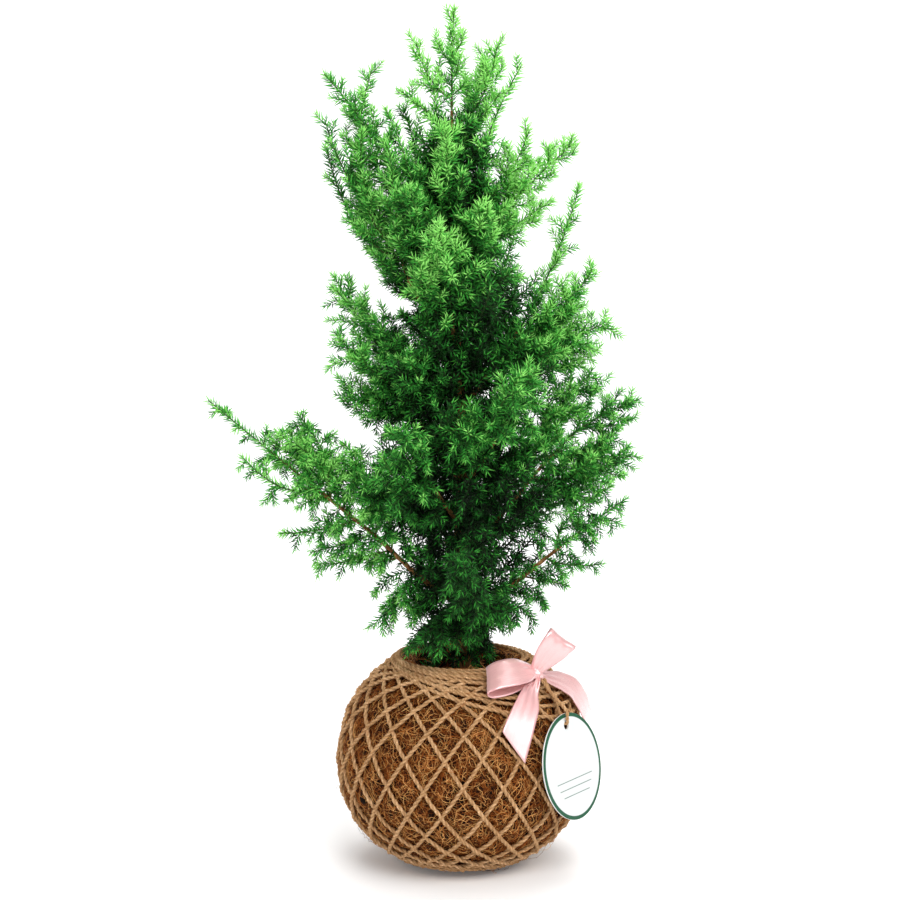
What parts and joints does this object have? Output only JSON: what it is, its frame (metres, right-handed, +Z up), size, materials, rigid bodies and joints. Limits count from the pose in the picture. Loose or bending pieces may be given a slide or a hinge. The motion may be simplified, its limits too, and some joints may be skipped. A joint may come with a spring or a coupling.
{
  "type": "kokedama plant",
  "caption": "Small needle-leaved conifer growing from a coir ball of soil bound with jute twine, with a satin bow and a blank round tag.",
  "frame": {"origin": "centre of the flat spot that the ball rests on", "axes": "+Z up along the trunk, +X towards the side with the bow and the tag, -Y towards the viewer of the front"},
  "size_m": [0.208, 0.146, 0.409],
  "materials": {
    "coir": "matt, fibrous",
    "soil": "matt, damp potting soil",
    "jute": "matt, hairy two-ply twine",
    "satin": "satin sheen",
    "card": "smooth coated card",
    "bark": "matt, rough young bark",
    "needles": "slightly waxy living needles"
  },
  "bodies": {
    "root": {"coir_shell": "coir", "soil_core": "soil", "twine_net": "jute", "ribbon_bow": "satin", "tag": "card", "tag_string": "jute", "trunk": "bark", "spray_back_high_1": "needles", "spray_back_left_1": "needles", "spray_back_low_1": "needles", "spray_back_mid_1": "needles", "spray_back_right_1": "needles", "spray_crown_1": "needles", "spray_crown_2": "needles", "spray_crown_3": "needles", "spray_crown_4": "needles", "spray_crown_5": "needles", "spray_crown_6": "needles", "spray_crown_7": "needles", "spray_crown_8": "needles", "spray_crown_9": "needles", "spray_front_high_1": "needles", "spray_front_left_1": "needles", "spray_front_left_2": "needles", "spray_front_low_1": "needles", "spray_front_low_2": "needles", "spray_front_low_3": "needles", "spray_front_right_1": "needles", "spray_front_right_2": "needles", "spray_front_right_3": "needles", "spray_left_high_1": "needles", "spray_left_high_2": "needles", "spray_left_high_3": "needles", "spray_left_high_4": "needles", "spray_left_high_5": "needles", "spray_left_low_1": "needles", "spray_left_low_2": "needles", "spray_left_low_3": "needles", "spray_left_low_4": "needles", "spray_left_low_5": "needles", "spray_left_low_6": "needles", "spray_left_low_7": "needles", "spray_left_mid_1": "needles", "spray_left_mid_2": "needles", "spray_left_mid_3": "needles", "spray_left_mid_4": "needles", "spray_right_high_1": "needles", "spray_right_high_2": "needles", "spray_right_high_3": "needles", "spray_right_low_1": "needles", "spray_right_low_2": "needles", "spray_right_low_3": "needles", "spray_right_low_4": "needles", "spray_right_mid_1": "needles", "spray_right_mid_2": "needles", "spray_right_mid_3": "needles", "spray_right_mid_4": "needles", "spray_right_top_1": "needles", "spray_right_top_2": "needles", "spray_right_top_3": "needles"}
  },
  "joints": []
}
